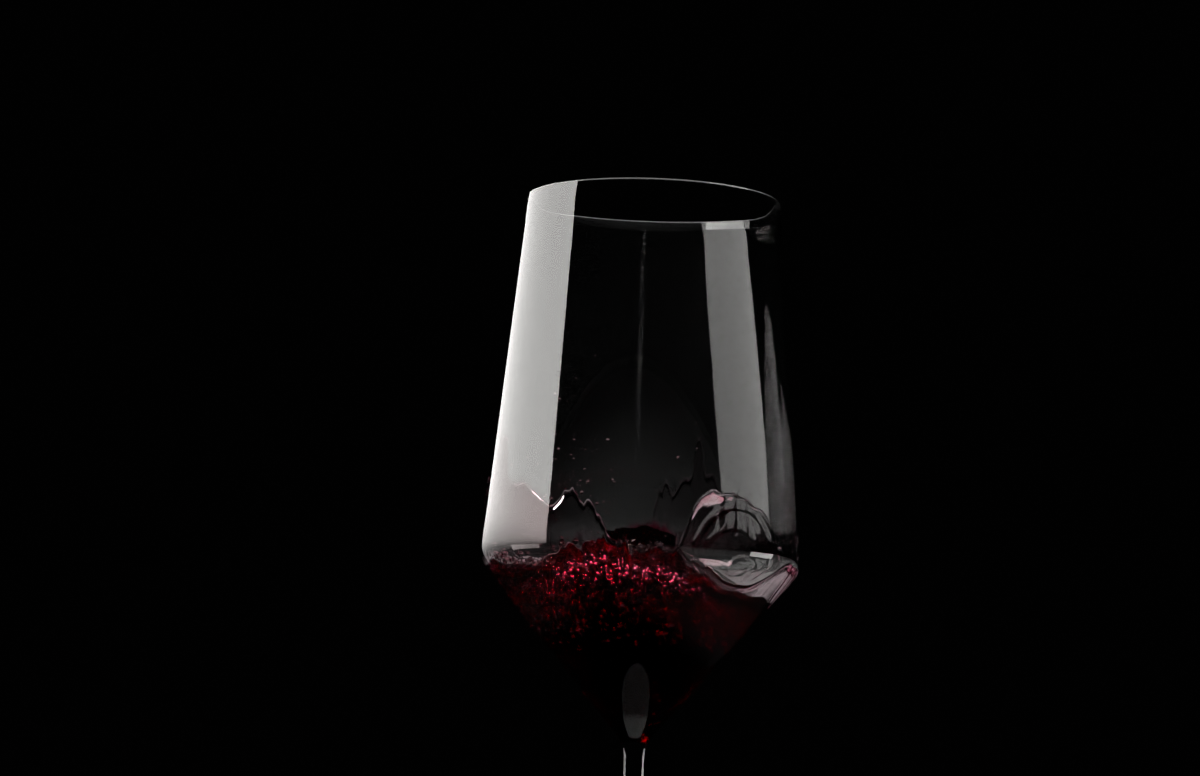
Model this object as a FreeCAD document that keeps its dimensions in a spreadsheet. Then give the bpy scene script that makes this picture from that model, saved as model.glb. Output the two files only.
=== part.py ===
import FreeCAD, Part
import Sketcher
import math
import os
from collections import namedtuple

from FreeCAD import Vector

# A large stemmed wine glass with a splash of red wine in the base of its bowl. The glass is one
# blown piece turned about the Z axis. The foot's flat ring rests on the floor at Z = 0, with the
# origin at its centre. Sizes are in millimetres, measured from the floor up and across the axis.

SIZES = {
    # the bowl: nearly straight walls that lean in to the rim, over a cone-shaped base
    "total_height": 245.0,
    "rim_width": 75.5,
    "rim_wall": 1.0,
    "bowl_width": 95.0,
    "bowl_wall": 1.2,
    "widest_height": 140.8,
    "shoulder_radius": 10.5,
    "bowl_floor_height": 92.0,
    "bowl_floor_radius": 7.0,
    # the stem, slightly slimmer at its waist, and the short flare where it meets the bowl
    "neck_height": 84.0,
    "neck_radius": 4.5,
    "stem_waist_width": 7.0,
    "stem_waist_height": 52.0,
    "stem_curve_radius": 900.0,
    # the foot: a thin disc that rests on a flat ring round a shallow hollow
    "foot_width": 84.0,
    "foot_edge": 1.6,
    "foot_rise": 4.4,
    "foot_flare_radius": 15.0,
    "rest_ring_width": 4.0,
    "foot_hollow": 0.9,
    # the wine, with its surface pushed up to the left and piled into a mound by pouring
    "wine_gap": 0.15,
    "wine_level": 130.0,
    "wine_top_limit": 149.0,
    "slosh_rise": 10.0,
    "mound_height": 12.0,
    "mound_radius": 21.0,
    "mound_right": 4.0,
    "mound_front": 8.0,
    "chop_height": 0.7,
    "chop_length": 17.0,
}

AXIS = -2  # a sketch's own vertical axis, as a geometry number
FLOOR = -1  # a sketch's own horizontal axis
START, END, CENTRE = 1, 2, 3  # a sketch edge's points

Edge = namedtuple("Edge", "number first last")
Circle = namedtuple("Circle", "centre radius")


def make_sheet(doc, sizes):
    """The spreadsheet that drives every sub-part, one size to a row."""
    sheet = doc.addObject("Spreadsheet::Sheet", "Sizes")
    for row, (name, value) in enumerate(sizes.items(), start=1):
        sheet.set(f"A{row}", name)
        sheet.set(f"B{row}", str(value))
        sheet.setAlias(f"B{row}", name)
    doc.recompute()
    return sheet


def read_sizes(sheet, names):
    """The sizes as the spreadsheet now holds them."""
    return {name: float(sheet.get(name)) for name in names}


# --- circles that the outlines run round -------------------------------------------------------


def stem_circle(size):
    """The large circle that gives the stem its waist."""
    reach = size["stem_waist_width"] / 2 + size["stem_curve_radius"]
    return Circle(Vector(reach, size["stem_waist_height"]), size["stem_curve_radius"])


def flare_circle(size, radius, height):
    """A circle at this height that touches the stem's circle from within."""
    stem = stem_circle(size)
    rise = height - stem.centre.y
    run = math.sqrt((stem.radius - radius) ** 2 - rise**2)
    return Circle(Vector(stem.centre.x - run, height), radius)


def neck_circle(size):
    return flare_circle(size, size["neck_radius"], size["neck_height"])


def foot_flare_circle(size):
    radius = size["foot_flare_radius"]
    return flare_circle(size, radius, size["foot_rise"] + radius)


def foot_edge_circle(size):
    radius = size["foot_edge"] / 2
    return Circle(Vector(size["foot_width"] / 2 - radius, radius), radius)


def shoulder_circle(size, inset):
    """The round between wall and cone, moved in from the outer face by inset."""
    centre = Vector(size["bowl_width"] / 2 - size["shoulder_radius"], size["widest_height"])
    return Circle(centre, size["shoulder_radius"] - inset)


def lip_circle(size, extra):
    """The rim's rounded lip, grown by extra."""
    radius = size["rim_wall"] / 2
    centre = Vector(size["rim_width"] / 2 - radius, size["total_height"] - radius)
    return Circle(centre, radius + extra)


def bowl_floor_circle(size, inset):
    """The round at the bottom of the bowl's hollow, moved in by inset."""
    centre = Vector(0, size["bowl_floor_height"] + size["bowl_floor_radius"])
    return Circle(centre, size["bowl_floor_radius"] - inset)


def touching_line(near, far, near_side, far_side, facing):
    """The points where a straight line touches two circles. A side of 1 puts the circle behind
    the line, -1 in front of it, and facing is roughly the way that the line's front looks."""
    across = far.centre - near.centre
    along = Vector(across).normalize()
    square = Vector(-along.y, along.x)
    if square.dot(facing) < 0:
        square = square * -1
    lean = (near_side * near.radius - far_side * far.radius) / across.Length
    front = along * lean + square * math.sqrt(1 - lean**2)
    return near.centre + front * (near_side * near.radius), far.centre + front * (far_side * far.radius)


def touching_point(outer, inner):
    """The point where a small circle touches a large one from within."""
    return outer.centre + (inner.centre - outer.centre).normalize() * outer.radius


# --- sketches ------------------------------------------------------------------------------------


def angle_on(circle, point):
    return math.atan2(point.y - circle.centre.y, point.x - circle.centre.x)


def draw_line(sketch, start, end):
    number = sketch.addGeometry(Part.LineSegment(start, end), False)
    return Edge(number, START, END)


def draw_arc(sketch, circle, start, end):
    """The shorter arc from start to end round a circle."""
    start_angle = angle_on(circle, start)
    turn = (angle_on(circle, end) - start_angle + math.pi) % (2 * math.pi) - math.pi
    low = min(start_angle, start_angle + turn)
    curve = Part.Circle(circle.centre, Vector(0, 0, 1), circle.radius)
    number = sketch.addGeometry(Part.ArcOfCircle(curve, low, low + abs(turn)), False)
    return Edge(number, START, END) if turn > 0 else Edge(number, END, START)


def join(sketch, edges, corners):
    """Ties each edge's end to the next one's start, tangent except where corners lists the pair."""
    for place, edge in enumerate(edges):
        following = edges[(place + 1) % len(edges)]
        kind = "Coincident" if place in corners else "Tangent"
        sketch.addConstraint(
            Sketcher.Constraint(kind, edge.number, edge.last, following.number, following.first)
        )


def drive(sketch, name, formula, *constraint):
    """Adds a constraint whose value follows a formula on the spreadsheet."""
    number = sketch.addConstraint(Sketcher.Constraint(*constraint))
    sketch.renameConstraint(number, name)
    sketch.setExpression("Constraints." + name, formula)


def drive_point(sketch, name, edge, point, across, up):
    """Places one of an edge's points by formulas for its distance from the axis and the floor."""
    where = sketch.getPoint(edge.number, point)
    drive(sketch, name + "_across", across, "DistanceX", FLOOR, START, edge.number, point, where.x)
    drive(sketch, name + "_up", up, "DistanceY", FLOOR, START, edge.number, point, where.y)


def drive_radius(sketch, name, edge, formula):
    radius = sketch.Geometry[edge.number].Radius
    drive(sketch, name + "_radius", formula, "Radius", edge.number, radius)


def put_on(sketch, line, edge, point):
    """Holds one of an edge's points on an axis of the sketch."""
    sketch.addConstraint(Sketcher.Constraint("PointOnObject", edge.number, point, line))


def plane_of(body, role):
    return next(part for part in body.Origin.OriginFeatures if part.Role == role)


def upright_sketch(doc, body, name):
    """An empty sketch on the body's XZ plane, with the glass's axis as its vertical axis."""
    sketch = body.newObject("Sketcher::SketchObject", name)
    sketch.AttachmentSupport = [(plane_of(body, "XZ_Plane"), "")]
    sketch.MapMode = "FlatFace"
    doc.recompute()
    return sketch


def turn_about_axis(doc, body, sketch, name):
    turned = body.newObject("PartDesign::Revolution", name)
    turned.Profile = sketch
    turned.ReferenceAxis = (sketch, ["V_Axis"])
    turned.Angle = 360
    sketch.Visibility = False
    doc.recompute()
    return turned


# --- the glass ---------------------------------------------------------------------------------------


def draw_glass(sketch, size):
    """Half the glass's section: under the foot, up the outside, over the lip and down the inside."""
    outward = Vector(1, 0)
    shoulder = shoulder_circle(size, 0)
    inner_shoulder = shoulder_circle(size, size["bowl_wall"])
    lip = lip_circle(size, 0)
    neck = neck_circle(size)
    stem = stem_circle(size)
    flare = foot_flare_circle(size)
    foot_edge = foot_edge_circle(size)
    bowl_floor = bowl_floor_circle(size, 0)

    ring_inner = Vector(foot_edge.centre.x - size["rest_ring_width"], 0)
    ring_outer = Vector(foot_edge.centre.x, 0)
    hollow_top = Vector(0, size["foot_hollow"])
    hollow_radius = (ring_inner.x**2 + hollow_top.y**2) / (2 * hollow_top.y)
    hollow = Circle(Vector(0, hollow_top.y - hollow_radius), hollow_radius)
    foot_low, foot_high = touching_line(foot_edge, flare, 1, -1, Vector(0, 1))
    stem_low = touching_point(stem, flare)
    stem_high = touching_point(stem, neck)
    cone_low, cone_high = touching_line(neck, shoulder, -1, 1, outward)
    wall_low, wall_high = touching_line(shoulder, lip, 1, 1, outward)
    lip_in, inner_high = touching_line(lip, inner_shoulder, -1, 1, outward)
    inner_cone_high, inner_cone_low = touching_line(inner_shoulder, bowl_floor, 1, 1, outward)
    bowl_floor_low = Vector(0, size["bowl_floor_height"])

    under_foot = draw_arc(sketch, hollow, hollow_top, ring_inner)
    rest_ring = draw_line(sketch, ring_inner, ring_outer)
    foot_rim = draw_arc(sketch, foot_edge, ring_outer, foot_low)
    foot_top = draw_line(sketch, foot_low, foot_high)
    foot_flare = draw_arc(sketch, flare, foot_high, stem_low)
    stem_side = draw_arc(sketch, stem, stem_low, stem_high)
    neck_flare = draw_arc(sketch, neck, stem_high, cone_low)
    cone = draw_line(sketch, cone_low, cone_high)
    shoulder_round = draw_arc(sketch, shoulder, cone_high, wall_low)
    wall = draw_line(sketch, wall_low, wall_high)
    lip_round = draw_arc(sketch, lip, wall_high, lip_in)
    inner_wall = draw_line(sketch, lip_in, inner_high)
    inner_round = draw_arc(sketch, inner_shoulder, inner_high, inner_cone_high)
    inner_cone = draw_line(sketch, inner_cone_high, inner_cone_low)
    floor_round = draw_arc(sketch, bowl_floor, inner_cone_low, bowl_floor_low)
    core = draw_line(sketch, bowl_floor_low, hollow_top)

    edges = [under_foot, rest_ring, foot_rim, foot_top, foot_flare, stem_side, neck_flare, cone]
    edges += [shoulder_round, wall, lip_round, inner_wall, inner_round, inner_cone, floor_round, core]
    corners = {edges.index(under_foot), edges.index(floor_round), edges.index(core)}
    join(sketch, edges, corners)

    for edge, point in ((under_foot, CENTRE), (floor_round, CENTRE), (core, START), (core, END)):
        put_on(sketch, AXIS, edge, point)
    put_on(sketch, FLOOR, rest_ring, START)
    sketch.addConstraint(Sketcher.Constraint("Horizontal", rest_ring.number))
    drive(sketch, "hollow_up", "Sizes.foot_hollow", "DistanceY", FLOOR, START, core.number, END, hollow_top.y)
    drive(
        sketch, "ring_across", "Sizes.rest_ring_width",
        "DistanceX", rest_ring.number, START, rest_ring.number, END, size["rest_ring_width"],
    )
    drive_radius(sketch, "foot_edge", foot_rim, "Sizes.foot_edge / 2")
    drive(
        sketch, "foot_across", "(Sizes.foot_width - Sizes.foot_edge) / 2",
        "DistanceX", FLOOR, START, foot_rim.number, CENTRE, foot_edge.centre.x,
    )
    drive_radius(sketch, "foot_flare", foot_flare, "Sizes.foot_flare_radius")
    drive(
        sketch, "foot_flare_up", "Sizes.foot_rise + Sizes.foot_flare_radius",
        "DistanceY", FLOOR, START, foot_flare.number, CENTRE, flare.centre.y,
    )
    drive_radius(sketch, "stem", stem_side, "Sizes.stem_curve_radius")
    drive_point(
        sketch, "stem", stem_side, CENTRE,
        "Sizes.stem_waist_width / 2 + Sizes.stem_curve_radius", "Sizes.stem_waist_height",
    )
    drive_radius(sketch, "neck", neck_flare, "Sizes.neck_radius")
    drive(
        sketch, "neck_up", "Sizes.neck_height",
        "DistanceY", FLOOR, START, neck_flare.number, CENTRE, neck.centre.y,
    )
    drive_radius(sketch, "shoulder", shoulder_round, "Sizes.shoulder_radius")
    drive_point(
        sketch, "shoulder", shoulder_round, CENTRE,
        "Sizes.bowl_width / 2 - Sizes.shoulder_radius", "Sizes.widest_height",
    )
    drive_radius(sketch, "lip", lip_round, "Sizes.rim_wall / 2")
    drive_point(
        sketch, "lip", lip_round, CENTRE,
        "(Sizes.rim_width - Sizes.rim_wall) / 2", "Sizes.total_height - Sizes.rim_wall / 2",
    )
    drive_radius(sketch, "inner_shoulder", inner_round, "Sizes.shoulder_radius - Sizes.bowl_wall")
    sketch.addConstraint(
        Sketcher.Constraint("Coincident", inner_round.number, CENTRE, shoulder_round.number, CENTRE)
    )
    drive_radius(sketch, "bowl_floor", floor_round, "Sizes.bowl_floor_radius")
    drive(
        sketch, "bowl_floor_up", "Sizes.bowl_floor_height",
        "DistanceY", FLOOR, START, core.number, START, bowl_floor_low.y,
    )


def make_glass(doc, size):
    """Foot, stem and bowl, turned in one piece."""
    body = doc.addObject("PartDesign::Body", "WineGlass")
    body.Label = "wine_glass"
    sketch = upright_sketch(doc, body, "GlassSection")
    draw_glass(sketch, size)
    turn_about_axis(doc, body, sketch, "TurnedGlass")
    body.Placement = FreeCAD.Placement()
    return body


# --- the wine -----------------------------------------------------------------------------------------


def draw_wine_fill(sketch, size):
    """Half the section of the bowl's hollow, a clearance inside the glass, up to a flat top."""
    outward = Vector(1, 0)
    gap = size["wine_gap"]
    shoulder = shoulder_circle(size, size["bowl_wall"] + gap)
    bowl_floor = bowl_floor_circle(size, gap)
    lip = lip_circle(size, gap)
    bottom = Vector(0, size["bowl_floor_height"] + gap)
    top = Vector(0, size["wine_top_limit"])
    cone_low, cone_high = touching_line(bowl_floor, shoulder, 1, 1, outward)
    wall_low, wall_far = touching_line(shoulder, lip, 1, -1, outward)
    share = (top.y - wall_low.y) / (wall_far.y - wall_low.y)
    wall_high = wall_low + (wall_far - wall_low) * share

    floor_round = draw_arc(sketch, bowl_floor, bottom, cone_low)
    cone = draw_line(sketch, cone_low, cone_high)
    shoulder_round = draw_arc(sketch, shoulder, cone_high, wall_low)
    wall = draw_line(sketch, wall_low, wall_high)
    surface = draw_line(sketch, wall_high, top)
    core = draw_line(sketch, top, bottom)
    lip_guide = Part.Circle(lip.centre, Vector(0, 0, 1), lip.radius)
    lip_edge = Edge(sketch.addGeometry(lip_guide, True), START, END)

    edges = [floor_round, cone, shoulder_round, wall, surface, core]
    join(sketch, edges, {edges.index(wall), edges.index(surface), edges.index(core)})
    for edge, point in ((floor_round, CENTRE), (core, START), (core, END)):
        put_on(sketch, AXIS, edge, point)
    sketch.addConstraint(Sketcher.Constraint("Horizontal", surface.number))
    drive(sketch, "top_up", "Sizes.wine_top_limit", "DistanceY", FLOOR, START, core.number, START, top.y)
    drive_radius(sketch, "floor", floor_round, "Sizes.bowl_floor_radius - Sizes.wine_gap")
    drive(
        sketch, "floor_up", "Sizes.bowl_floor_height + Sizes.wine_gap",
        "DistanceY", FLOOR, START, core.number, END, bottom.y,
    )
    drive_radius(
        sketch, "shoulder", shoulder_round,
        "Sizes.shoulder_radius - Sizes.bowl_wall - Sizes.wine_gap",
    )
    drive_point(
        sketch, "shoulder", shoulder_round, CENTRE,
        "Sizes.bowl_width / 2 - Sizes.shoulder_radius", "Sizes.widest_height",
    )
    drive_radius(sketch, "lip", lip_edge, "Sizes.rim_wall / 2 + Sizes.wine_gap")
    drive_point(
        sketch, "lip", lip_edge, CENTRE,
        "(Sizes.rim_width - Sizes.rim_wall) / 2", "Sizes.total_height - Sizes.rim_wall / 2",
    )
    sketch.addConstraint(Sketcher.Constraint("Tangent", wall.number, lip_edge.number))


def wave_height(size, across, back):
    """The wine's surface height over a point: a tilt, a mound and a light chop."""
    tilt = -size["slosh_rise"] * across / size["bowl_width"]
    reach = math.hypot(across - size["mound_right"], back + size["mound_front"])
    mound = size["mound_height"] * math.exp(-((reach / size["mound_radius"]) ** 3))
    turn = 2 * math.pi / size["chop_length"]
    chop = math.sin(turn * (across + 0.35 * back)) * math.cos(turn * (0.8 * back - 0.3 * across))
    return size["wine_level"] + tilt + mound + size["chop_height"] * chop


def make_air(doc, size):
    """The air over the wine: a solid whose underside is the wavy surface."""
    half = size["bowl_width"] * 0.6
    steps = max(12, round(2 * half / (size["chop_length"] / 5)))
    places = [half * (2 * step / steps - 1) for step in range(steps + 1)]
    grid = [[Vector(x, y, wave_height(size, x, y)) for y in places] for x in places]
    surface = Part.BSplineSurface()
    surface.interpolate(grid)
    air = doc.addObject("Part::Feature", "AirOverWine")
    air.Shape = surface.toShape().extrude(Vector(0, 0, size["total_height"]))
    air.Placement = FreeCAD.Placement()
    return air


def make_wine(doc, size):
    """The filled part of the bowl, cut off by its own wavy surface."""
    fill = doc.addObject("PartDesign::Body", "WineFill")
    sketch = upright_sketch(doc, fill, "WineSection")
    draw_wine_fill(sketch, size)
    turn_about_axis(doc, fill, sketch, "TurnedWine")
    wine = doc.addObject("Part::Cut", "RedWine")
    wine.Base = fill
    wine.Tool = make_air(doc, size)
    wine.Label = "red_wine"
    wine.Placement = FreeCAD.Placement()
    return wine


# --- checks and files ----------------------------------------------------------------------------------


def check(doc, parts):
    """Stops the script if any object failed or any sub-part isn't one sound solid."""
    for item in doc.Objects:
        if {"Invalid", "Error"} & set(item.State):
            raise RuntimeError(f"{item.Label} failed: {item.State}")
        if item.TypeId == "Sketcher::SketchObject" and item.solve() != 0:
            raise RuntimeError(f"{item.Label} can't be solved")
    for part in parts:
        if part.Shape.isNull() or not part.Shape.isValid() or len(part.Shape.Solids) != 1:
            raise RuntimeError(f"{part.Label} isn't one valid solid")


def write(parts):
    os.makedirs("parts", exist_ok=True)
    for part in parts:
        part.Shape.exportStep(os.path.join("parts", part.Label + ".step"))
        box = part.Shape.BoundBox
        print(
            f"{part.Label}: {part.Shape.Volume / 1000:.2f} ml,"
            f" {box.XLength:.1f} x {box.YLength:.1f} x {box.ZLength:.1f} mm"
        )


def main():
    doc = FreeCAD.newDocument("GlassOfWine")
    sheet = make_sheet(doc, SIZES)
    size = read_sizes(sheet, SIZES)
    parts = [make_glass(doc, size), make_wine(doc, size)]
    doc.recompute()
    check(doc, parts)
    write(parts)


main()
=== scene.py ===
import math
import random

import bmesh
import bpy
import numpy as np
from mathutils import Matrix, Vector, noise
from mathutils.bvhtree import BVHTree


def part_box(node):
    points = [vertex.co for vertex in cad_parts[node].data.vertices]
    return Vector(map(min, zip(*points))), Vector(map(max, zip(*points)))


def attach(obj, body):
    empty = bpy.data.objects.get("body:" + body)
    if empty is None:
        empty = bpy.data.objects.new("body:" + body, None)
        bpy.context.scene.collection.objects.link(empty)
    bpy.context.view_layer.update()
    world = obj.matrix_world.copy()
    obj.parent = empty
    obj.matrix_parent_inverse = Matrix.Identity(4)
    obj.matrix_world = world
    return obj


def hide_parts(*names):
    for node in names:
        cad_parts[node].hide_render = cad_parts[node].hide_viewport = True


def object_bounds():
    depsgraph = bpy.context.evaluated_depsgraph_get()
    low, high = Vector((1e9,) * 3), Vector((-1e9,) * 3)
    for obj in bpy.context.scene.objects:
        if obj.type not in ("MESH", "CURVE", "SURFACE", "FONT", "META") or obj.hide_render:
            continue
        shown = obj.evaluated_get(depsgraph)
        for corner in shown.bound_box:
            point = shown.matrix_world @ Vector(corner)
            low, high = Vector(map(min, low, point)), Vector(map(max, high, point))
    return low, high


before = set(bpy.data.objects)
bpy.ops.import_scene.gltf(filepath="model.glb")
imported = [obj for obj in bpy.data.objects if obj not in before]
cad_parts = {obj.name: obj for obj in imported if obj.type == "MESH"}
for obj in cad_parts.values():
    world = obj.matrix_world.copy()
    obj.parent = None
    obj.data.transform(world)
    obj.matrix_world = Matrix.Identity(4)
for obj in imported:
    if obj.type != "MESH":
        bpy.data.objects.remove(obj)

# A stemmed glass of freshly poured red wine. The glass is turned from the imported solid's own
# outline. The wine is one closed body: its choppy surface runs out to the wall, goes up it as a
# thin film and comes back down inside the wall. Lengths are metres, angles are degrees.

CAD_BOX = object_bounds()
MM = 0.001

# --- sizes of the glass and its wine --------------------------------------------------------------

GLASS_STEPS = 240  # faces round the glass
FINEST_SPAN = 1.2 * MM  # between rings where the wine touches the wall
WIDEST_SPAN = 2.4 * MM  # between rings elsewhere
INTO_WALL = 0.06 * MM  # how far the wine's own wall side lies inside the glass

WINE_STEPS = 360  # faces round the wine
SURFACE_RINGS = 92
FILM_RINGS = 46
WALL_RINGS = 70
WALL_CROWDING = 1.15  # over 1, the rings down the wall lie closer together near its top

MENISCUS_RISE = 1.3 * MM
MENISCUS_REACH = 1.6 * MM
SHORE_PULL = 90  # how sharply the outermost surface rings close on the film's foot
OVER_FLOOR = 0.02 * MM  # where the lowest ring of the wine's wall side stands
FILM_THICKNESS = 0.07 * MM
FILM_EDGE = 0.32 * MM  # the bead of wine along the film's upper edge
FILM_EDGE_REACH = 0.9 * MM
FILM_TAPER = 0.6 * MM  # over which the film thins out to nothing at its top
FILM_LEAST = 0.02 * MM
FILM_LOW_RISE = 1.6 * MM  # the film over the wine's edge where nothing has washed the wall
FILM_WOBBLE = 0.10
LEG_VARIATION = 0.4  # how much thicker or thinner the film runs in legs
LEGS_ROUND = 22
LEG_LENGTH = 30 * MM

# Where pouring has washed the wall: azimuth from the front towards +X, half width and rise of
# the film over the wine.
WASHES = [
    (-68.0, 37.0, 23.0 * MM),
    (-66.0, 6.0, 13.0 * MM),
    (-24.0, 9.0, 9.0 * MM),
    (72.0, 20.0, 8.0 * MM),
    (140.0, 26.0, 31.0 * MM),
]

# Curled ridges in the film: azimuth and height of the curl's centre, its radius, the ridge's
# width and thickness.
CURLS = [
    (139.0, 142.0 * MM, 15.0 * MM, 0.8 * MM, 0.30 * MM),
    (141.0, 140.0 * MM, 11.0 * MM, 0.6 * MM, 0.14 * MM),
    (137.0, 137.0 * MM, 4.0 * MM, 0.6 * MM, 0.28 * MM),
    (-52.0, 139.0 * MM, 17.0 * MM, 0.6 * MM, 0.12 * MM),
    (104.0, 153.0 * MM, 24.0 * MM, 0.4 * MM, 0.25 * MM),
    (106.0, 154.0 * MM, 27.0 * MM, 0.35 * MM, 0.22 * MM),
    (108.0, 155.0 * MM, 31.0 * MM, 0.4 * MM, 0.25 * MM),
    (104.0, 156.0 * MM, 33.0 * MM, 0.3 * MM, 0.18 * MM),
]

# Where the wine surges up the front wall: azimuth, half width, rise over its edge, reach inwards.
SURGE = (-6.0, 30.0, 8.0 * MM, 7.0 * MM)
SURGE_RAGGED = 0.4

# The broken surface round where the wine was poured in, and how far it is still rough elsewhere.
CHOP_CENTRE = (-6.0 * MM, -10.0 * MM)
CHOP_REACH = 27.0 * MM
CHOP_COARSE = 1.5 * MM
CHOP_FROM_WALL = 1.5 * MM
CHOP_FINE = 0.8 * MM
CHOP_ELSEWHERE = 0.22
COARSE_SPAN = 6 * MM
FINE_SPAN = 2.2 * MM

# What is scattered, and the seed it is scattered with. Azimuths are a middle and a spread, and
# radii are the least and what chance adds to it.
SEED = 4
BEAD_ROUNDNESS = 2
BUBBLES = 1200
BUBBLE_AZIMUTHS = (-16, 42)
BUBBLE_RADII = (0.2 * MM, 0.7 * MM)
BUBBLE_DEPTH = 7 * MM
BUBBLE_INSET = 2.2 * MM
UNDER_SURFACE = 1.6 * MM  # the least a bubble's top keeps from the surface
DEEPEST_BUBBLE = 22 * MM  # over the bowl's floor
FOAM_BEADS = 190
FOAM_AZIMUTHS = (-58, 20)
FOAM_RADII = (0.2 * MM, 0.75 * MM)
WALL_DROPS = 170
CLUSTERED_DROPS = 0.6  # the share of them in the cluster
CLUSTER_AZIMUTHS = (-30, 12)
CLUSTER_SPREAD = 9 * MM  # up the wall
DROP_SPREAD = 16 * MM
DROP_RADII = (0.12 * MM, 0.4 * MM)
DROPS_UNDER_RIM = 20 * MM


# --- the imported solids' shapes --------------------------------------------------------------------


def merged_copy(node):
    """The node's mesh with its loose triangles joined."""
    bm = bmesh.new()
    bm.from_mesh(node.data)
    bmesh.ops.remove_doubles(bm, verts=bm.verts, dist=1e-6)
    return bm


def seam_outline(node):
    """A turned solid's outline as (radius, height), from its inside floor out to under its foot."""
    bm = merged_copy(node)
    on_seam = {v for v in bm.verts if abs(v.co.y) < 1e-6 and v.co.x > -1e-6}
    neighbours = {v: [] for v in on_seam}
    for edge in bm.edges:
        first, second = edge.verts
        if first in on_seam and second in on_seam:
            neighbours[first].append(second)
            neighbours[second].append(first)
    poles = [v for v in on_seam if v.co.x < 1e-5]
    here = max(poles, key=lambda v: v.co.z)
    walked = [here]
    while True:
        onward = [v for v in neighbours[here] if v not in walked]
        if not onward:
            break
        here = onward[0]
        walked.append(here)
    outline = np.array([(max(v.co.x, 0.0), v.co.z) for v in walked])
    bm.free()
    return outline


def rounded(outline, widest):
    """The outline with points added on the smooth curve through its own points."""
    spans = np.diff(outline, axis=0)
    lengths = np.linalg.norm(spans, axis=1)[:, None]
    ways = spans / lengths
    tangents = np.vstack([ways[:1], ways[:-1] * lengths[1:] + ways[1:] * lengths[:-1], ways[-1:]])
    tangents /= np.linalg.norm(tangents, axis=1)[:, None]
    points = []
    for i, length in enumerate(lengths[:, 0]):
        parts = max(2, math.ceil(length / widest(outline[i], outline[i + 1])))
        for part in range(parts):
            u = part / parts
            points.append(
                outline[i] * (1 + 2 * u) * (1 - u) ** 2
                + tangents[i] * length * u * (1 - u) ** 2
                + outline[i + 1] * u**2 * (3 - 2 * u)
                - tangents[i + 1] * length * u**2 * (1 - u)
            )
    points.append(outline[-1])
    return np.clip(points, outline.min(axis=0), outline.max(axis=0))


class Bowl:
    """The inside of the glass: its wall's radius by height."""

    def __init__(self, outline):
        self.inside = outline[: int(outline[:, 1].argmax()) + 1]
        self.floor = self.inside[0, 1]
        self.rim = self.inside[-1, 1]

    def radius(self, height):
        return np.interp(height, self.inside[:, 1], self.inside[:, 0])

    def out_from(self, radius, height, depth):
        """A point moved into the wall, square to it."""
        step = 0.2 * MM
        lean = (self.radius(height + step) - self.radius(height - step)) / (2 * step)
        square = np.array([np.ones_like(lean), -lean]) / np.hypot(1, lean)
        return radius + square[0] * depth, height + square[1] * depth


class Pour:
    """The wine's surface as packed, seen from above."""

    def __init__(self, node):
        bm = merged_copy(node)
        self.tree = BVHTree.FromBMesh(bm)
        bm.free()
        self.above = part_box(node.name)[1][2] + 0.01

    def height(self, x, y):
        """The surface's height here, or past its edge the height at the edge."""
        for share in np.linspace(1, 0, 60):
            start = Vector((x * share, y * share, self.above))
            hit = self.tree.ray_cast(start, Vector((0, 0, -1)))[0]
            if hit is not None:
                return hit.z
        raise ValueError("no wine below")


# --- the wine's surface and film ------------------------------------------------------------------


def chop(x, y):
    """The broken surface round where the wine was poured in."""
    away = math.hypot(x - CHOP_CENTRE[0], y - CHOP_CENTRE[1])
    share = CHOP_ELSEWHERE + (1 - CHOP_ELSEWHERE) * math.exp(-((away / CHOP_REACH) ** 2))
    coarse = noise.fractal(Vector((x, y, 0)) / COARSE_SPAN, 0.8, 2.0, 3)
    place = Vector((x + 0.1, y, 0.02)) / FINE_SPAN
    fine = noise.ridged_multi_fractal(place, 0.8, 2.0, 2, 1.0, 2.0) - 1
    return share * (CHOP_COARSE * coarse + CHOP_FINE * fine)


def direction(azimuth):
    """The unit vector for an azimuth in radians, counted from the front towards +X."""
    return math.sin(azimuth), -math.cos(azimuth)


def contact_height(bowl, pour, azimuth):
    """Where the surface meets the wall in this direction."""
    x, y = direction(azimuth)
    low, high = bowl.floor, bowl.rim
    for _ in range(24):
        middle = (low + high) / 2
        radius = float(bowl.radius(middle))
        if pour.height(x * radius, y * radius) > middle:
            low = middle
        else:
            high = middle
    return low


def turn_between(first, second):
    """The turn from the second azimuth to the first, in degrees from -180 to 180."""
    return (first - second + 180) % 360 - 180


def surge_rise(azimuth):
    """How far the ragged surge lifts the wine's edge in this direction."""
    centre, half_width, height, _ = SURGE
    x, y = direction(azimuth)
    ragged = noise.fractal(Vector((x * 8, y * 8, 0.7)), 0.5, 2.0, 6)
    away = turn_between(math.degrees(azimuth), centre) / half_width
    return height * math.exp(-(away**4)) * (1 + SURGE_RAGGED * ragged)


def film_rise(azimuth):
    """How far the film stands above the wine's edge in this direction."""
    degrees = math.degrees(azimuth)
    rise = FILM_LOW_RISE
    for centre, half_width, height in WASHES:
        rise += height * math.exp(-((turn_between(degrees, centre) / half_width) ** 4))
    x, y = direction(azimuth)
    wobble = noise.fractal(Vector((x, y, 0.3)) * 4, 0.9, 2.0, 4)
    return rise * (1 + FILM_WOBBLE * wobble)


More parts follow.
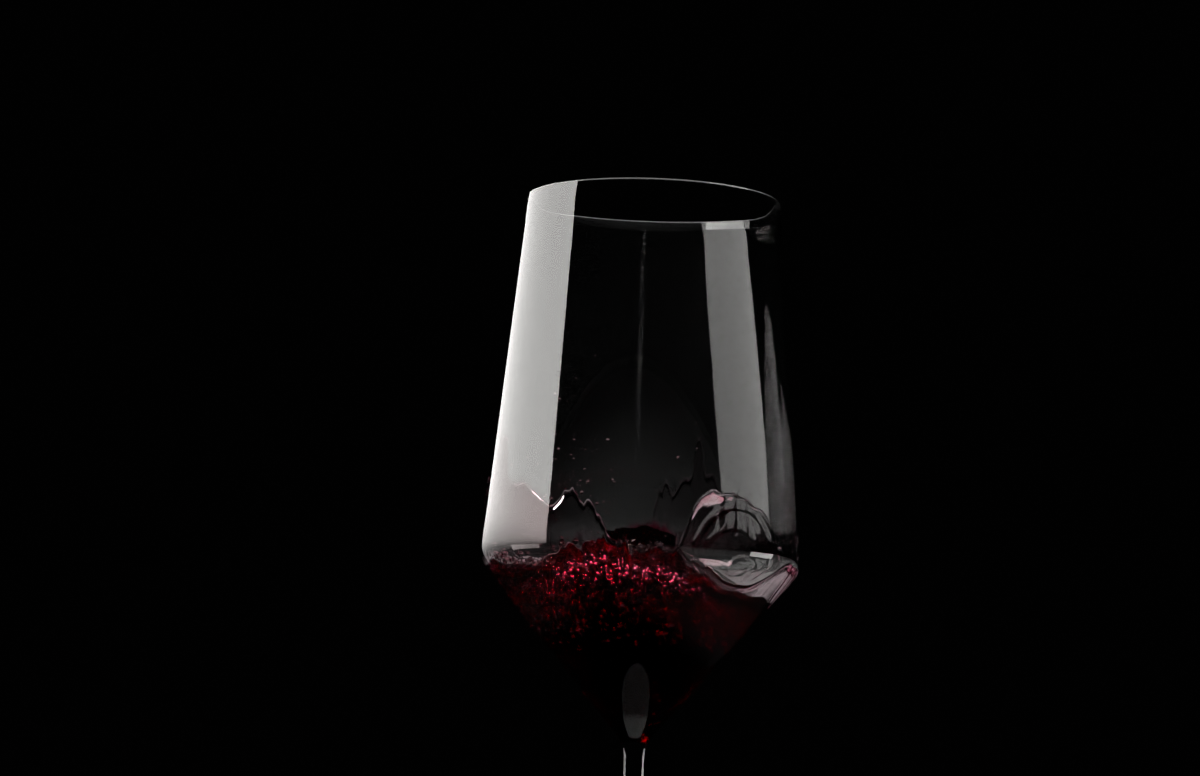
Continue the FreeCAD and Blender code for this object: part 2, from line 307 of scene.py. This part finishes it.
def film_depth(azimuth, height, top, radius):
    """The film's thickness at a point of the wall."""
    below_edge = top - height
    bead = FILM_EDGE * math.exp(-(((below_edge - FILM_EDGE_REACH) / FILM_EDGE_REACH) ** 2))
    x, y = direction(azimuth)
    place = Vector((x * LEGS_ROUND, y * LEGS_ROUND, height / LEG_LENGTH))
    legs = noise.fractal(place, 0.9, 2.0, 2)
    depth = FILM_THICKNESS * (1 + LEG_VARIATION * legs) + bead
    for centre, middle, curl_radius, width, thickness in CURLS:
        across = math.radians(turn_between(math.degrees(azimuth), centre)) * radius
        off = math.hypot(across, height - middle) - curl_radius
        depth += thickness * math.exp(-((off / width) ** 2))
    taper = min(1.0, below_edge / FILM_TAPER)
    return max(depth, FILM_LEAST) * math.sin(taper * math.pi / 2)


def wine_profiles(bowl, pour):
    """For each direction, the wine's edge and the film's top."""
    azimuths = np.arange(WINE_STEPS) * 2 * math.pi / WINE_STEPS
    edges = np.array([contact_height(bowl, pour, a) + surge_rise(a) for a in azimuths])
    tops = edges + MENISCUS_RISE + np.array([film_rise(a) for a in azimuths])
    return azimuths, edges, tops


def wine_rows(bowl, pour, azimuths, edges, tops):
    """Rings of points from the middle of the surface, up the film and down inside the wall."""
    ways = np.array([direction(a) for a in azimuths])
    rows, against, filmy = [], [], []
    shore = edges + MENISCUS_RISE
    lifts = np.array([surge_rise(a) for a in azimuths])
    shore_depth = np.array(
        [film_depth(*at, bowl.radius(at[1])) for at in zip(azimuths, shore, tops)]
    )
    shore_radius = bowl.radius(shore) - shore_depth
    for ring in range(SURFACE_RINGS):
        share = (ring + 1) / SURFACE_RINGS
        radii = shore_radius * share
        inset = shore_radius - radii
        row = np.empty((len(azimuths), 3))
        row[:, :2] = ways * radii[:, None]
        for i, (x, y) in enumerate(row[:, :2]):
            climb = MENISCUS_RISE * math.exp(-inset[i] / MENISCUS_REACH)
            climb += lifts[i] * math.exp(-((inset[i] / SURGE[3]) ** 2))
            loose = 1 - math.exp(-inset[i] / CHOP_FROM_WALL)
            row[i, 2] = pour.height(x, y) + chop(x, y) * loose + climb
        row[:, 2] += (shore - row[:, 2]) * math.exp(-(1 - share) * SHORE_PULL)
        rows.append(row)
        against.append(0.0)
        filmy.append(0.0)
    for ring in range(1, FILM_RINGS + 1):
        share = ring / FILM_RINGS
        heights = shore + (tops - shore) * share
        depth = np.array(
            [film_depth(*at, bowl.radius(at[1])) for at in zip(azimuths, heights, tops)]
        )
        radii = bowl.radius(heights) - depth
        rows.append(np.column_stack([ways * radii[:, None], heights]))
        against.append(0.0 if ring < FILM_RINGS else 1.0)
        filmy.append(1.0)
    for ring in range(WALL_RINGS):
        share = (ring / WALL_RINGS) ** WALL_CROWDING
        heights = tops + (bowl.floor + OVER_FLOOR - tops) * share
        radii, heights = bowl.out_from(bowl.radius(heights), heights, INTO_WALL)
        rows.append(np.column_stack([ways * radii[:, None], heights]))
        against.append(1.0)
        filmy.append(0.0)
    return rows, {"touch": against, "film": filmy}


# --- meshes ---------------------------------------------------------------------------------------


def ringed_mesh(name, rows, first_pole, last_pole, values):
    """A closed mesh through rings of points, with a pole at each end and named values by ring."""
    steps = len(rows[0])
    points = np.vstack([[first_pole], *rows, [last_pole]])
    faces = []
    last = len(points) - 1
    for i in range(steps):
        j = (i + 1) % steps
        faces.append((0, 1 + i, 1 + j))
        for ring in range(len(rows) - 1):
            start = 1 + ring * steps
            faces.append((start + j, start + i, start + steps + i, start + steps + j))
        start = 1 + (len(rows) - 1) * steps
        faces.append((start + j, start + i, last))
    mesh = bpy.data.meshes.new(name)
    mesh.from_pydata(points.tolist(), [], faces)
    for label, by_ring in values.items():
        shares = np.concatenate([[by_ring[0]], np.repeat(by_ring, steps), [by_ring[-1]]])
        set_values(mesh, label, shares)
    return finished_mesh(mesh)


def set_values(mesh, label, values):
    """Stores a number for each of the mesh's points under this name."""
    stored = mesh.attributes.new(label, "FLOAT", "POINT").data
    stored.foreach_set("value", values.astype(np.float32))


def finished_mesh(mesh):
    """Faces turned outwards and shaded smooth."""
    bm = bmesh.new()
    bm.from_mesh(mesh)
    bmesh.ops.recalc_face_normals(bm, faces=bm.faces)
    bm.to_mesh(mesh)
    bm.free()
    mesh.shade_smooth()
    return mesh


def add_piece(mesh, material, replaced=None):
    """Puts a finished mesh in the scene as a piece of the glass of wine."""
    piece = bpy.data.objects.new(mesh.name, mesh)
    bpy.context.scene.collection.objects.link(piece)
    mesh.materials.clear()
    mesh.materials.append(material)
    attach(piece, "root")
    if replaced:
        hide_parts(replaced)
    return piece


# --- node trees for what is turned or repeated ----------------------------------------------------


def new_tree(name, inputs):
    """A geometry node tree with named inputs, each a (name, socket type, value)."""
    tree = bpy.data.node_groups.new(name, "GeometryNodeTree")
    tree.interface.new_socket("Geometry", in_out="INPUT", socket_type="NodeSocketGeometry")
    for label, kind, value in inputs:
        socket = tree.interface.new_socket(label, in_out="INPUT", socket_type=kind)
        if value is not None:
            socket.default_value = value
    tree.interface.new_socket("Geometry", in_out="OUTPUT", socket_type="NodeSocketGeometry")
    return tree, tree.nodes.new("NodeGroupInput"), tree.nodes.new("NodeGroupOutput")


def add_node(tree, kind, links=None, **settings):
    """A node with its settings, and its inputs linked to sockets or set to values."""
    node = tree.nodes.new(kind)
    for key, value in settings.items():
        setattr(node, key, value)
    for key, value in (links or {}).items():
        if isinstance(value, bpy.types.NodeSocket):
            tree.links.new(value, node.inputs[key])
        else:
            node.inputs[key].default_value = value
    return node


def turning_tree():
    """Turns a half outline, drawn as edges in the XZ plane, into a closed round body."""
    inputs = [("Steps", "NodeSocketInt", 96), ("Material", "NodeSocketMaterial", None)]
    tree, given, result = new_tree("turned_glass", inputs)
    profile = add_node(tree, "GeometryNodeMeshToCurve", {"Mesh": given.outputs["Geometry"]})
    place = add_node(tree, "GeometryNodeInputPosition")
    split = add_node(tree, "ShaderNodeSeparateXYZ", {"Vector": place.outputs[0]})
    inward = add_node(
        tree, "ShaderNodeMath", {0: split.outputs["X"], 1: 1.0}, operation="SUBTRACT"
    )
    upright = add_node(
        tree, "ShaderNodeMath", {0: split.outputs["Z"], 1: -1.0}, operation="MULTIPLY"
    )
    flat = add_node(
        tree, "ShaderNodeCombineXYZ", {"X": inward.outputs[0], "Y": upright.outputs[0]}
    )
    laid = add_node(
        tree, "GeometryNodeSetPosition",
        {"Geometry": profile.outputs["Curve"], "Position": flat.outputs[0]},
    )
    ring = add_node(
        tree, "GeometryNodeCurvePrimitiveCircle",
        {"Resolution": given.outputs["Steps"], "Radius": 1.0},
    )
    swept = add_node(
        tree, "GeometryNodeCurveToMesh",
        {"Curve": ring.outputs["Curve"], "Profile Curve": laid.outputs["Geometry"]},
    )
    closed = add_node(
        tree, "GeometryNodeMergeByDistance",
        {"Geometry": swept.outputs["Mesh"], "Distance": 0.01 * MM},
    )
    real = add_node(tree, "GeometryNodeRealizeInstances", {"Geometry": closed.outputs[0]})
    made = add_node(
        tree, "GeometryNodeSetMaterial",
        {"Geometry": real.outputs[0], "Material": given.outputs["Material"]},
    )
    tree.links.new(made.outputs[0], result.inputs["Geometry"])
    return tree


def bead_tree():
    """Puts a small round bead on every point, as large as the point's own size says."""
    inputs = [("Roundness", "NodeSocketInt", 2), ("Material", "NodeSocketMaterial", None)]
    tree, given, result = new_tree("beads_on_points", inputs)
    size = add_node(
        tree, "GeometryNodeInputNamedAttribute", {"Name": "size"}, data_type="FLOAT_VECTOR"
    )
    ball = add_node(
        tree, "GeometryNodeMeshIcoSphere",
        {"Radius": 1.0, "Subdivisions": given.outputs["Roundness"]},
    )
    placed = add_node(
        tree, "GeometryNodeInstanceOnPoints",
        {
            "Points": given.outputs["Geometry"],
            "Instance": ball.outputs["Mesh"],
            "Scale": size.outputs["Attribute"],
        },
    )
    real = add_node(tree, "GeometryNodeRealizeInstances", {"Geometry": placed.outputs[0]})
    made = add_node(
        tree, "GeometryNodeSetMaterial",
        {"Geometry": real.outputs[0], "Material": given.outputs["Material"]},
    )
    tree.links.new(made.outputs[0], result.inputs["Geometry"])
    return tree


def grown(name, seed_mesh, tree, values):
    """The plain mesh that a node tree makes from seed_mesh with these named values."""
    holder = bpy.data.objects.new(name + "_seed", seed_mesh)
    bpy.context.scene.collection.objects.link(holder)
    modifier = holder.modifiers.new("grow", "NODES")
    modifier.node_group = tree
    for item in tree.interface.items_tree:
        if item.in_out == "INPUT" and item.name in values:
            modifier[item.identifier] = values[item.name]
    graph = bpy.context.evaluated_depsgraph_get()
    mesh = bpy.data.meshes.new_from_object(holder.evaluated_get(graph))
    mesh.name = name
    bpy.data.objects.remove(holder)
    return mesh


# --- materials ------------------------------------------------------------------------------------


def new_material(name):
    """An empty material, its node tree and that tree's output."""
    material = bpy.data.materials.new(name)
    material.use_nodes = True
    tree = material.node_tree
    tree.nodes.clear()
    return material, tree, tree.nodes.new("ShaderNodeOutputMaterial")


def stretched_noise(tree, across, along, detail):
    """Noise in object space with its own scale across and along the Z axis."""
    place = add_node(tree, "ShaderNodeTexCoord")
    mapped = add_node(
        tree, "ShaderNodeMapping",
        {"Vector": place.outputs["Object"], "Scale": (across, across, along)},
    )
    return add_node(
        tree, "ShaderNodeTexNoise",
        {"Vector": mapped.outputs[0], "Scale": 1.0, "Detail": detail},
    )


def touch_value(tree, free, touching):
    """A value that goes from free to touching where the piece's touch attribute passes one half."""
    touch = add_node(tree, "ShaderNodeAttribute", attribute_name="touch")
    return add_node(
        tree, "ShaderNodeMapRange",
        {
            "Value": touch.outputs["Fac"],
            "From Min": 0.45,
            "From Max": 0.55,
            "To Min": free,
            "To Max": touching,
        },
    )


PANEL_WHITE = (1.0, 0.985, 0.965)
ROOM_BLACK = (0.0004, 0.0004, 0.0004, 1)
GLASS_BEND = 1.5
VEILED_BEND = 1.43  # the outside of the glass, where a film of wine dulls what lies behind
WINE_BEND = 1.345
SUNK_BEND = 1.01  # between glass and wine well under the surface, where no light comes back
SUNK_OUTSIDE = 0.5  # how far the outside of the glass follows it there
SUNK_START = 11 * MM  # under the wine's edge
SUNK_FADE = 8 * MM
TOUCH_FADE = 4 * MM
VEIL_FADE = 2 * MM
WASHED_WALL = 95 * MM  # over the bowl's floor, the part of the inside that gets the finest rings


def glass_material():
    """Clear crystal, with the faint drawn waviness of a blown wall and a painted pink tint in its
    reflections over the wine film.
    """
    material, tree, out = new_material("clear_crystal")
    touched = touch_value(tree, GLASS_BEND, GLASS_BEND / WINE_BEND)
    veil = add_node(tree, "ShaderNodeAttribute", attribute_name="veil")
    veiled = add_node(
        tree, "ShaderNodeMix",
        {"Factor": veil.outputs["Fac"], "A": touched.outputs[0], "B": VEILED_BEND},
    )
    sunk = add_node(tree, "ShaderNodeAttribute", attribute_name="sunk")
    bend = add_node(
        tree, "ShaderNodeMix",
        {"Factor": sunk.outputs["Fac"], "A": veiled.outputs["Result"], "B": SUNK_BEND},
    )
    # Painted pink tint in the glass's reflections where a film of wine lies behind the outer face;
    # the glass itself is clear.
    pink_reflection_tint = add_node(
        tree, "ShaderNodeMix",
        {"Factor": veil.outputs["Fac"], "A": (1, 1, 1, 1), "B": (1, 0.84, 0.85, 1)},
        data_type="RGBA",
    )
    waves = stretched_noise(tree, 160.0, 14.0, 2.0)
    bump = add_node(
        tree, "ShaderNodeBump",
        {"Height": waves.outputs["Fac"], "Strength": 0.25, "Distance": 0.05 * MM},
    )
    glass = add_node(
        tree, "ShaderNodeBsdfPrincipled",
        {
            "Base Color": (0.985, 0.99, 0.99, 1),
            "Roughness": 0.0,
            "Transmission Weight": 1.0,
            "IOR": bend.outputs["Result"],
            "Specular Tint": pink_reflection_tint.outputs["Result"],
            "Normal": bump.outputs[0],
        },
    )
    tree.links.new(glass.outputs[0], out.inputs["Surface"])
    return material


def wine_material():
    """Red wine: clear at its surface, dark with depth, and unseen against the glass it wets."""
    material, tree, out = new_material("red_wine")
    bend = touch_value(tree, WINE_BEND, 1.001)
    ripples = stretched_noise(tree, 900.0, 900.0, 3.0)
    film = add_node(tree, "ShaderNodeAttribute", attribute_name="film")
    strength = add_node(
        tree, "ShaderNodeMapRange",
        {"Value": film.outputs["Fac"], "To Min": 0.5, "To Max": 0.06},
    )
    bump = add_node(
        tree, "ShaderNodeBump",
        {"Height": ripples.outputs["Fac"], "Strength": strength.outputs[0], "Distance": 0.2 * MM},
    )
    wine = add_node(
        tree, "ShaderNodeBsdfPrincipled",
        {
            "Base Color": (1, 1, 1, 1),
            "Roughness": 0.0,
            "Transmission Weight": 1.0,
            "IOR": bend.outputs[0],
            "Normal": bump.outputs[0],
        },
    )
    depth = add_node(
        tree, "ShaderNodeVolumeAbsorption", {"Color": (0.885, 0.0, 0.30, 1), "Density": 800.0}
    )
    tree.links.new(wine.outputs[0], out.inputs["Surface"])
    tree.links.new(depth.outputs[0], out.inputs["Volume"])
    return material


def bubble_material():
    """Air trapped in the wine, which bends light the other way."""
    material, tree, out = new_material("air_bubble")
    air = add_node(
        tree, "ShaderNodeBsdfGlass", {"Color": (1, 1, 1, 1), "Roughness": 0.0, "IOR": 1 / WINE_BEND}
    )
    tree.links.new(air.outputs[0], out.inputs["Surface"])
    return material


def drop_material():
    """A clear drop tinted by a little wine."""
    material, tree, out = new_material("wine_drop")
    tint = stretched_noise(tree, 400.0, 400.0, 1.0)
    shade = add_node(
        tree, "ShaderNodeMix",
        {"Factor": tint.outputs["Fac"], "A": (0.80, 0.45, 0.50, 1), "B": (0.95, 0.75, 0.78, 1)},
        data_type="RGBA",
    )
    drop = add_node(
        tree, "ShaderNodeBsdfPrincipled",
        {
            "Roughness": 0.0,
            "Transmission Weight": 1.0,
            "IOR": WINE_BEND,
        },
    )
    tree.links.new(shade.outputs["Result"], drop.inputs["Base Color"])
    tree.links.new(drop.outputs[0], out.inputs["Surface"])
    return material


# --- pieces ---------------------------------------------------------------------------------------


def outline_mesh(outline):
    """The outline as a chain of edges in the XZ plane."""
    mesh = bpy.data.meshes.new("outline")
    points = [(r, 0, z) for r, z in outline]
    mesh.from_pydata(points, [(i, i + 1) for i in range(len(points) - 1)], [])
    return mesh


def make_glass(outline, bowl, azimuths, edges, tops):
    """The glass, marked where wine touches it, films it or lies deep behind it."""
    material = glass_material()
    values = {"Steps": GLASS_STEPS, "Material": material}
    mesh = finished_mesh(grown("stemmed_glass", outline_mesh(outline), turning_tree(), values))
    points = np.empty(len(mesh.vertices) * 3)
    mesh.vertices.foreach_get("co", points)
    points = points.reshape(-1, 3)
    height = points[:, 2]
    radius = np.hypot(points[:, 0], points[:, 1])
    wall = bowl.radius(height)
    inside = (radius < wall + 0.05 * MM) & (height > bowl.floor - 0.01 * MM)
    outside = (radius > wall + 0.5 * MM) & (height > bowl.floor)
    turn = np.arctan2(points[:, 0], -points[:, 1]) % (2 * math.pi)
    top = np.interp(turn, azimuths, tops, period=2 * math.pi)
    edge = np.interp(turn, azimuths, edges, period=2 * math.pi)
    touch = np.clip(0.5 + (top - height) / TOUCH_FADE, 0, 1)
    set_values(mesh, "touch", np.where(inside, touch, 0))
    veil = np.clip(0.5 + (top - height) / VEIL_FADE, 0, 1)
    set_values(mesh, "veil", np.where(outside, veil, 0))
    sunk = np.clip((edge - SUNK_START - height) / SUNK_FADE, 0, 1)
    set_values(mesh, "sunk", np.where(inside, sunk, np.where(outside, SUNK_OUTSIDE * sunk, 0)))
    glass = add_piece(mesh, material, "wine_glass")
    glass.visible_shadow = False
    return glass


def make_wine(bowl, pour, azimuths, edges, tops):
    """The wine as one closed body, from the middle of its surface round to the bowl's floor."""
    rows, values = wine_rows(bowl, pour, azimuths, edges, tops)
    middle = (0, 0, float(np.mean(rows[0][:, 2])))
    bottom = (0, 0, bowl.floor - INTO_WALL)
    mesh = ringed_mesh("poured_wine", rows, middle, bottom, values)
    return add_piece(mesh, wine_material(), "red_wine")


def points_mesh(name, places, sizes):
    """Loose points, each with its own size in three directions."""
    mesh = bpy.data.meshes.new(name + "_points")
    mesh.from_pydata(places, [], [])
    values = np.array(sizes, np.float32).reshape(-1)
    mesh.attributes.new("size", "FLOAT_VECTOR", "POINT").data.foreach_set("vector", values)
    return mesh


def make_beads(name, places, sizes, material):
    """One piece of many small round beads."""
    seeds = points_mesh(name, places, sizes)
    values = {"Roundness": BEAD_ROUNDNESS, "Material": material}
    mesh = grown(name, seeds, bead_tree(), values)
    return add_piece(finished_mesh(mesh), material)


def level_at(degrees, azimuths, levels):
    """A level known for every direction, at one azimuth in degrees."""
    return float(np.interp(math.radians(degrees % 360), azimuths, levels, period=2 * math.pi))


def trapped_bubbles(bowl, azimuths, edges, pour, chance):
    """Bubbles churned under the surface, most of them left of the middle and near the glass."""
    places, sizes = [], []
    while len(places) < BUBBLES:
        azimuth = chance.gauss(*BUBBLE_AZIMUTHS)
        size = BUBBLE_RADII[0] + BUBBLE_RADII[1] * chance.random() ** 3
        edge = level_at(azimuth, azimuths, edges)
        height = edge - 0.8 * MM - size - chance.expovariate(1 / BUBBLE_DEPTH)
        if height < bowl.floor + DEEPEST_BUBBLE:
            continue
        inset = 1.1 * size + chance.expovariate(1 / BUBBLE_INSET)
        radius = float(bowl.radius(height)) - inset
        x, y = (radius * part for part in direction(math.radians(azimuth)))
        lifted = surge_rise(math.radians(azimuth)) * math.exp(-((inset / SURGE[3]) ** 2))
        if radius < 3 * MM or height + size > pour.height(x, y) + lifted - UNDER_SURFACE:
            continue
        places.append((x, y, height))
        sizes.append((size, size, size * chance.uniform(0.8, 1.1)))
    return places, sizes


def shore_foam(bowl, azimuths, edges, chance):
    """Bubbles gathered along the wine's edge on the left."""
    places, sizes = [], []
    while len(places) < FOAM_BEADS:
        azimuth = chance.gauss(*FOAM_AZIMUTHS)
        edge = level_at(azimuth, azimuths, edges)
        size = FOAM_RADII[0] + FOAM_RADII[1] * chance.random() ** 2.5
        height = edge + 1.2 * MM + chance.gauss(0, 1.2 * MM) + 3 * MM * chance.random() ** 3
        radius = float(bowl.radius(height)) - 0.75 * size
        x, y = (radius * part for part in direction(math.radians(azimuth)))
        places.append((x, y, height))
        sizes.append((size, size, size))
    return places, sizes


def wall_drops(bowl, azimuths, tops, chance):
    """Fine drops flung on to the dry wall over the film."""
    places, sizes = [], []
    while len(places) < WALL_DROPS:
        clustered = chance.random() < CLUSTERED_DROPS
        azimuth = chance.gauss(*CLUSTER_AZIMUTHS) if clustered else chance.uniform(-180, 180)
        top = level_at(azimuth, azimuths, tops)
        spread = CLUSTER_SPREAD if clustered else DROP_SPREAD
        height = top + 1 * MM + chance.expovariate(1 / spread)
        if height > bowl.rim - DROPS_UNDER_RIM:
            continue
        size = DROP_RADII[0] + DROP_RADII[1] * chance.random() ** 5
        radius = float(bowl.radius(height)) - 0.25 * size
        x, y = (radius * part for part in direction(math.radians(azimuth)))
        places.append((x, y, height))
        sizes.append((size, size, size * chance.uniform(0.9, 1.5)))
    return places, sizes


# --- stage, lights and camera ---------------------------------------------------------------------


FLOOR_RADIUS = 2.3
FLOOR_CENTRE = (0.35, -0.5, 0)


def make_floor():
    """A plain pale round table top."""
    mesh = bpy.data.meshes.new("table_top")
    bm = bmesh.new()
    bmesh.ops.create_circle(bm, cap_ends=True, segments=128, radius=FLOOR_RADIUS)
    bmesh.ops.translate(bm, verts=bm.verts, vec=FLOOR_CENTRE)
    bm.to_mesh(mesh)
    bm.free()
    floor = bpy.data.objects.new("table_top", mesh)
    bpy.context.scene.collection.objects.link(floor)
    material, tree, out = new_material("pale_table")
    grain = stretched_noise(tree, 30.0, 30.0, 4.0)
    shade = add_node(
        tree, "ShaderNodeMix",
        {"Factor": grain.outputs["Fac"], "A": (0.60, 0.60, 0.59, 1), "B": (0.66, 0.66, 0.65, 1)},
        data_type="RGBA",
    )
    matt = add_node(tree, "ShaderNodeBsdfPrincipled", {"Roughness": 0.7})
    tree.links.new(shade.outputs["Result"], matt.inputs["Base Color"])
    tree.links.new(matt.outputs[0], out.inputs["Surface"])
    mesh.materials.append(material)
    floor.visible_glossy = False
    return floor


def add_softbox(name, place, target, width, height, watts, colour):
    """A flat lamp that faces its target and can't be seen itself."""
    light = bpy.data.lights.new(name, "AREA")
    light.shape = "RECTANGLE"
    light.size, light.size_y = width, height
    light.energy = watts
    light.color = colour
    lamp = bpy.data.objects.new(name, light)
    bpy.context.scene.collection.objects.link(lamp)
    lamp.location = place
    lamp.rotation_euler = (Vector(target) - Vector(place)).to_track_quat("-Z", "Y").to_euler()
    lamp.visible_camera = False
    return lamp


def light_only(lamp, pieces):
    """Lets a lamp light nothing but these pieces."""
    lit = bpy.data.collections.new(lamp.name + "_lights")
    for piece in pieces:
        lit.objects.link(piece)
    lamp.light_linking.receiver_collection = lit


def add_wall_panel(name, front, back, low, high, radiance, lean=0.0):
    """An upright panel between two points of the plan, leaned in its own plane."""
    front, back = Vector((*front, 0)), Vector((*back, 0))
    along = (back - front).normalized()
    facing = Vector((along.y, -along.x, 0))
    width = (back - front).length
    place = (front + back) / 2 + Vector((0, 0, (low + high) / 2))
    watts = radiance * math.pi * width * (high - low)
    lamp = add_softbox(name, place, place + facing, width, high - low, watts, PANEL_WHITE)
    turned = Matrix.Rotation(math.radians(lean), 3, facing) @ lamp.rotation_euler.to_matrix()
    lamp.rotation_euler = turned.to_euler()
    return lamp


def shade_panel(lamp, along_y, along_z):
    """Grades a panel's light by depth and height, each (from, to, share at from, share at to)."""
    lamp.data.use_nodes = True
    tree = lamp.data.node_tree
    glow = tree.nodes["Emission"]
    place = add_node(tree, "ShaderNodeNewGeometry")
    split = add_node(tree, "ShaderNodeSeparateXYZ", {"Vector": place.outputs["Position"]})
    shares = []
    for axis, grade in (("Y", along_y), ("Z", along_z)):
        values = dict(zip(("From Min", "From Max", "To Min", "To Max"), grade))
        share = add_node(
            tree, "ShaderNodeMapRange", {"Value": split.outputs[axis], **values},
            interpolation_type="SMOOTHSTEP",
        )
        shares.append(share.outputs[0])
    both = add_node(tree, "ShaderNodeMath", {0: shares[0], 1: shares[1]}, operation="MULTIPLY")
    tree.links.new(both.outputs[0], glow.inputs["Strength"])


def trim_panel(lamp, level, front, back):
    """Keeps a panel's glow between slanted edges, each (depth at this level, drift downwards)."""
    tree = lamp.data.node_tree
    glow = tree.nodes["Emission"]
    share = glow.inputs["Strength"].links[0].from_socket
    place = add_node(tree, "ShaderNodeNewGeometry")
    split = add_node(tree, "ShaderNodeSeparateXYZ", {"Vector": place.outputs["Position"]})
    down = add_node(
        tree, "ShaderNodeMath", {0: level, 1: split.outputs["Z"]}, operation="SUBTRACT"
    )
    for (start, drift), test in ((front, "GREATER_THAN"), (back, "LESS_THAN")):
        edge = add_node(
            tree, "ShaderNodeMath", {0: down.outputs[0], 1: drift, 2: start},
            operation="MULTIPLY_ADD",
        )
        lit = add_node(
            tree, "ShaderNodeMath", {0: split.outputs["Y"], 1: edge.outputs[0]}, operation=test
        )
        kept = add_node(tree, "ShaderNodeMath", {0: share, 1: lit.outputs[0]}, operation="MULTIPLY")
        share = kept.outputs[0]
    tree.links.new(share, glow.inputs["Strength"])


def light_scene(floor, glass, wine_pieces):
    """Panels that the glass mirrors, one that lights the wine, and a wide one over the floor."""
    outer = add_wall_panel(
        "left_panel", (-0.094, -0.053), (-0.064, 0.043), 0.130, 0.318, 5.9, lean=-7.0
    )
    shade_panel(outer, (-0.058, 0.040, 1.45, 0.60), (0.129, 0.161, 0.08, 1.0))
    inner = add_wall_panel("back_wall_panel", (-0.008, 0.004), (-0.008, 0.046), 0.145, 0.300, 3.7)
    shade_panel(inner, (0.012, 0.042, 0.9, 1.1), (0.15, 0.25, 0.75, 1.05))
    trim_panel(inner, 0.240, (0.0129, 0.107), (0.0293, 0.200))
    above = add_wall_panel("wine_panel", (-0.0325, -0.024), (-0.0365, 0.018), 0.150, 0.205, 12.0)
    above.data.shape = "ELLIPSE"
    above.visible_glossy = False
    above.visible_diffuse = False
    light_only(above, wine_pieces)
    left_low = add_wall_panel("left_stem_panel", (-0.5, -0.14), (-0.5, 0.10), 0.025, 0.110, 4.0)
    right_low = add_wall_panel("right_stem_panel", (0.5, 0.10), (0.5, -0.10), 0.025, 0.110, 6.0)
    for lamp in (outer, inner, left_low, right_low):
        lamp.visible_transmission = False
        lamp.visible_diffuse = False
        light_only(lamp, [glass, *wine_pieces])
    overhead = add_softbox("overhead", (0.3, -0.3, 1.5), (0.1, -0.1, 0), 1.6, 1.6, 9.0, (1, 1, 1))
    overhead.data.spread = math.radians(120)
    light_only(overhead, [floor])
    world = bpy.data.worlds.new("dark_room")
    world.use_nodes = True
    world.node_tree.nodes["Background"].inputs["Color"].default_value = ROOM_BLACK
    bpy.context.scene.world = world


CAMERA_PLACE = (-0.0138, -0.831)
CAMERA_UNDER_RIM = 0.1472
CAMERA_PITCH = 6.23  # degrees over level
CAMERA_ROLL = 2.11
CAMERA_LENS = 85.0
CAMERA_SENSOR = 36.0


def place_camera():
    """A low camera that looks up at the bowl and cuts off the foot."""
    rim_height = CAD_BOX[1][2]
    camera = bpy.data.cameras.new("camera")
    camera.lens = CAMERA_LENS
    camera.sensor_width = CAMERA_SENSOR
    camera.clip_start = 0.01
    holder = bpy.data.objects.new("camera", camera)
    bpy.context.scene.collection.objects.link(holder)
    pitch, roll = math.radians(90 + CAMERA_PITCH), math.radians(CAMERA_ROLL)
    place = Matrix.Translation((*CAMERA_PLACE, rim_height - CAMERA_UNDER_RIM))
    holder.matrix_world = place @ Matrix.Rotation(pitch, 4, "X") @ Matrix.Rotation(roll, 4, "Z")
    bpy.context.scene.camera = holder


def main():
    outline = seam_outline(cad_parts["wine_glass"])
    bowl = Bowl(rounded(outline, lambda a, b: WIDEST_SPAN))
    inside_end = int(outline[:, 1].argmax())
    washed = bowl.floor + WASHED_WALL

    def span(first, second):
        on_inside = any(np.allclose(first, point) for point in outline[:inside_end])
        return FINEST_SPAN if on_inside and first[1] < washed else WIDEST_SPAN

    pour = Pour(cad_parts["red_wine"])
    azimuths, edges, tops = wine_profiles(bowl, pour)
    glass = make_glass(rounded(outline, span), bowl, azimuths, edges, tops)
    wine = make_wine(bowl, pour, azimuths, edges, tops)
    chance = random.Random(SEED)
    trapped = trapped_bubbles(bowl, azimuths, edges, pour, chance)
    bubbles = make_beads("trapped_bubbles", *trapped, bubble_material())
    drop = drop_material()
    make_beads("shore_foam", *shore_foam(bowl, azimuths, edges, chance), drop)
    make_beads("wall_drops", *wall_drops(bowl, azimuths, tops, chance), drop)
    floor = make_floor()
    light_scene(floor, glass, [wine, bubbles])
    place_camera()
    bpy.context.scene.cycles.max_bounces = 24
    bpy.context.scene.cycles.transmission_bounces = 24
    bpy.context.scene.cycles.glossy_bounces = 12
    bpy.context.scene.view_settings.view_transform = "Standard"


main()
